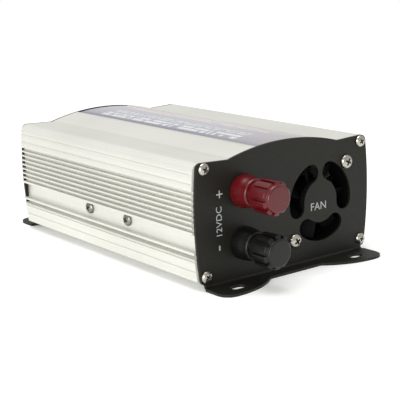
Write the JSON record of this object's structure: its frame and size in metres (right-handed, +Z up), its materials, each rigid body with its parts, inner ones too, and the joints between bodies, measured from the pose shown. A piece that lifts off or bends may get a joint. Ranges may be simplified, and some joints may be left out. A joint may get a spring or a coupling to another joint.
{
  "type": "power inverter",
  "caption": "Finned aluminium case with black end plates, slotted feet, red and black battery posts, a grilled cooling fan, and a mains outlet with a switch at the back.",
  "frame": {"origin": "middle of the overall box at its bottom, on the surface that the four feet stand on", "axes": "+X to the right seen from the front plate, +Y from the front plate with the terminals to the rear plate with the outlet, +Z up"},
  "size_m": [0.1036, 0.1916, 0.0596],
  "materials": {
    "anodised_case": "clear anodised, satin, extruded",
    "coated_plate": "satin black powder coat",
    "nickel_screw": "nickel plated",
    "red_plastic": "moulded, semi gloss",
    "black_plastic": "moulded, satin",
    "brass": "machined, plain",
    "copper": "enamelled copper wire",
    "steel": "plain ground steel",
    "label_film": "printed film under clear gloss",
    "board_laminate": "glass epoxy with green solder mask",
    "ferrite": "sintered ferrite, matte",
    "coil_tape": "polyester tape",
    "can_sleeve": "shrink sleeve",
    "fuse_plastic": "moulded, translucent",
    "green_lens": "tinted lens",
    "red_lens": "tinted lens"
  },
  "bodies": {
    "case": {"housing_shell": "anodised_case", "base_plate": "anodised_case", "front_plate": "coated_plate", "rear_plate": "coated_plate", "top_label": "label_film", "front_screw_upper_left": "nickel_screw", "rear_screw_upper_left": "nickel_screw", "front_screw_upper_right": "nickel_screw", "rear_screw_upper_right": "nickel_screw", "front_screw_lower_left": "nickel_screw", "rear_screw_lower_left": "nickel_screw", "front_screw_lower_right": "nickel_screw", "rear_screw_lower_right": "nickel_screw", "fan_screw_upper": "nickel_screw", "fan_screw_lower": "nickel_screw", "side_screw_left_front": "nickel_screw", "side_screw_left_rear": "nickel_screw", "side_screw_right_front": "nickel_screw", "side_screw_right_rear": "nickel_screw", "positive_collar": "red_plastic", "positive_inner_bush": "red_plastic", "positive_lead": "red_plastic", "positive_stud": "brass", "positive_nut": "nickel_screw", "negative_collar": "black_plastic", "negative_inner_bush": "black_plastic", "negative_lead": "black_plastic", "negative_stud": "brass", "negative_nut": "nickel_screw", "fan_frame": "black_plastic", "outlet_body": "black_plastic", "switch_body": "black_plastic", "clamp_bar_left": "steel", "clamp_bar_right": "steel", "fan_bearing": "brass", "outlet_contact_left": "brass", "outlet_contact_right": "brass", "outlet_earth_strip": "brass", "fan_stator": "copper", "output_choke": "copper", "power_lamp": "green_lens", "fault_lamp": "red_lens", "circuit_board": "board_laminate", "transformer_core": "ferrite", "transformer_winding": "coil_tape", "bus_capacitor": "can_sleeve", "input_capacitor": "can_sleeve", "blade_fuse": "fuse_plastic", "transistor_left_front": "black_plastic", "transistor_left_rear": "black_plastic", "transistor_right_front": "black_plastic", "transistor_right_rear": "black_plastic"},
    "fan": {"fan_rotor": "black_plastic", "fan_shaft": "steel"},
    "rocker": {"switch_rocker": "black_plastic"},
    "positive_washer": {"positive_clamp_washer": "nickel_screw"},
    "positive_knob": {"positive_cap": "red_plastic"},
    "negative_washer": {"negative_clamp_washer": "nickel_screw"},
    "negative_knob": {"negative_cap": "black_plastic"}
  },
  "joints": [
    {"name": "fan_spin", "type": "hinge", "parent": "case", "child": "fan", "pos_m": [0.0208, -0.06557, 0.0284], "axis": [0, 1, 0], "continuous": true},
    {"name": "positive_clamp_travel", "type": "slide", "parent": "case", "child": "positive_washer", "axis": [0, -1, 0], "range_m": [0, 0.004]},
    {"name": "positive_cap_turn", "type": "hinge", "parent": "positive_washer", "child": "positive_knob", "pos_m": [-0.0248, -0.08858, 0.0406], "axis": [0, -1, 0], "range_deg": [0, 1800]},
    {"name": "negative_clamp_travel", "type": "slide", "parent": "case", "child": "negative_washer", "axis": [0, -1, 0], "range_m": [0, 0.004]},
    {"name": "negative_cap_turn", "type": "hinge", "parent": "negative_washer", "child": "negative_knob", "pos_m": [-0.0248, -0.08858, 0.0173], "axis": [0, -1, 0], "range_deg": [0, 1800]},
    {"name": "switch_rock", "type": "hinge", "parent": "case", "child": "rocker", "pos_m": [0.014, 0.07967, 0.0405], "axis": [1, 0, 0], "range_deg": [0, 20]}
  ],
  "couplings": [
    {"joint": "positive_cap_turn", "follows": "positive_clamp_travel", "rad_per_m": 7853},
    {"joint": "negative_cap_turn", "follows": "negative_clamp_travel", "rad_per_m": 7853}
  ]
}
